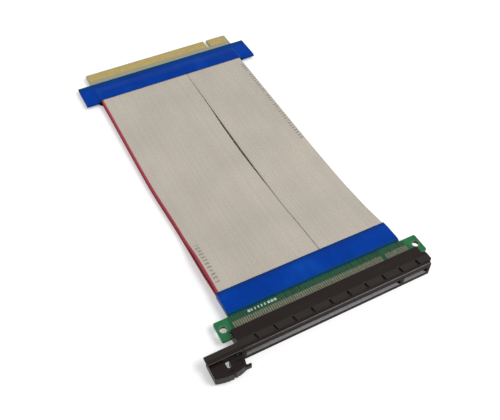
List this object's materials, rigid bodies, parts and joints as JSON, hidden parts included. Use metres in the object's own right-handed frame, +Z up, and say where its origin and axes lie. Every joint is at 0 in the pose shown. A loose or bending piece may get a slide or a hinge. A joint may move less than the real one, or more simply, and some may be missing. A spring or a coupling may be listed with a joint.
{
  "type": "gpu riser cable",
  "caption": "Flexible riser cable: a card-edge board at one end, layered grey ribbon cable, and a black card slot with a latch at the other end.",
  "frame": {"origin": "middle of the footprint, on the surface that the cable lies on", "axes": "+Y from the mouth of the slot to the tip of the edge board, +X towards the end of the slot with the key, +Z up"},
  "size_m": [0.108, 0.2002, 0.0075],
  "materials": {
    "board": "green solder mask over glass-fibre laminate",
    "film": "smooth blue film",
    "ribbon": "ridged grey ribbon cable",
    "moulding": "black moulded plastic"
  },
  "bodies": {
    "cable": {"edge_board": "board", "edge_wrap": "film", "ribbon_upper_wide": "ribbon", "ribbon_upper_narrow": "ribbon", "ribbon_lower_wide": "ribbon", "ribbon_lower_narrow": "ribbon", "slot_wrap": "film", "slot_board": "board", "slot_housing": "moulding"},
    "latch": {"slot_latch": "moulding"}
  },
  "joints": [
    {"name": "latch_pivot", "type": "hinge", "parent": "cable", "child": "latch", "pos_m": [-0.0506, -0.09075, 0.00375], "axis": [0, 0, -1], "range_deg": [0, 20]}
  ]
}
